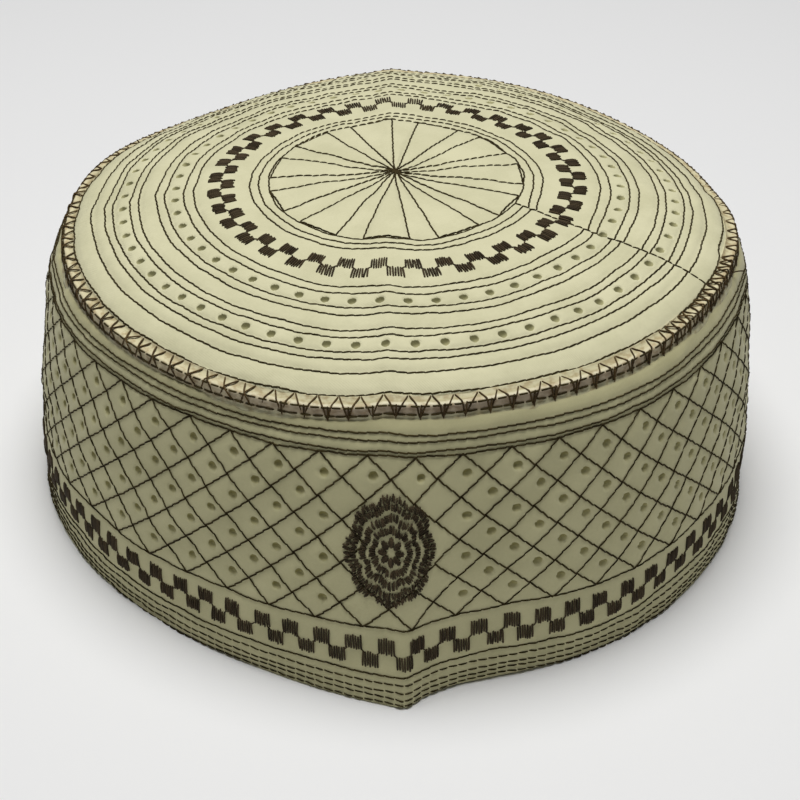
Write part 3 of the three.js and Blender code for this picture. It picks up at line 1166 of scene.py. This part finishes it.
crown_material = cotton("crown_cotton", (0.68, 0.65, 0.425), (0.6, 0.575, 0.365),
                        crown_eyelet_places, (0.6, 0.59, 0.47), (0.22, 0.215, 0.14))
# The band's cotton is the crown's cotton painted darker and yellower: painted shade for the upright band,
# which the overhead light barely reaches
band_material = cotton("band_cotton", (0.63, 0.595, 0.345), (0.56, 0.53, 0.3),
                       band_eyelet_places, (0.95, 0.94, 0.85), (0.45, 0.43, 0.27))
seam_material = seam_cloth("seam_cotton")
line_thread = thread("line_thread", (0.03, 0.02, 0.004), (0.062, 0.045, 0.012), 0.8)
chequer_thread = thread("chequer_thread", (0.03, 0.02, 0.009), (0.085, 0.06, 0.03), 0.75)
zigzag_thread = thread("zigzag_thread", (0.05, 0.03, 0.009), (0.12, 0.075, 0.025), 0.65)

crown_cloth = make_crown_cloth(crown_material)
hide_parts("crown")
band_cloth = make_band_cloth(band_material)
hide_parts("side_band")
seam_bead = make_seam_bead(seam_material)
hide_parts("seam_piping")
make_crown_stitching(line_thread)
make_crown_chequer(chequer_thread)
make_band_stitching(line_thread)
make_lattice(line_thread)
make_band_chequer(chequer_thread)
motif_threads = make_front_motif(chequer_thread)
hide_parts("front_motif")
make_seam_stitching(line_thread)
make_overstitch(zigzag_thread)
make_loose_end(zigzag_thread)


# Floor, light and camera

def make_floor(size):
    mesh = bpy.data.meshes.new("floor")
    corners = [(-size, -size, 0), (size, -size, 0), (size, size, 0), (-size, size, 0)]
    mesh.from_pydata(corners, [], [(0, 1, 2, 3)])
    material, tree, shader = new_material("floor_paper")
    fill(shader, {"Base Color": (0.86, 0.86, 0.86), "Roughness": 0.9})
    mesh.materials.append(material)
    link_object("floor", mesh)


def make_light(place, target, size, power):
    light = bpy.data.lights.new("overhead", "AREA")
    light.shape = "DISK"
    light.size = size
    light.energy = power
    lamp = link_object("overhead", light)
    lamp.location = place
    lamp.rotation_euler = (Vector(target) - Vector(place)).to_track_quat("-Z", "Y").to_euler()


def make_camera():
    """Looks down on the cap from the front, at the place and turn fitted to the photograph."""
    distance, rise = 420.0, 0.4848
    pitch, yaw, roll = 0.6131, 0.0043, 0.0096
    focal_pixels, image_pixels, sensor = 1746.5, 800, 36.0
    lens = bpy.data.cameras.new("camera")
    lens.sensor_width = sensor
    lens.lens = focal_pixels * sensor / image_pixels
    lens.clip_start = 0.01
    camera = link_object("camera", lens)
    place = Vector((0, -distance * math.cos(rise), distance * math.sin(rise) + CROWN_HEIGHT)) * MM
    heading, tilt = Matrix.Rotation(-yaw, 4, "Z"), Matrix.Rotation(TURN / 4 - pitch, 4, "X")
    turn = heading @ tilt @ Matrix.Rotation(roll, 4, "Z")
    camera.matrix_world = Matrix.Translation(place + Vector(PART_SHIFT)) @ turn
    bpy.context.scene.camera = camera


make_floor(3.0)
make_light((-0.02, 0.04, 1.1), (0, 0, 0.05), 0.7, 11.8)
world = bpy.data.worlds.new("studio")
world.use_nodes = True
fill(world.node_tree.nodes["Background"], {0: WHITE, 1: 0.06})
bpy.context.scene.world = world
bpy.context.scene.view_settings.view_transform = "Standard"
make_camera()
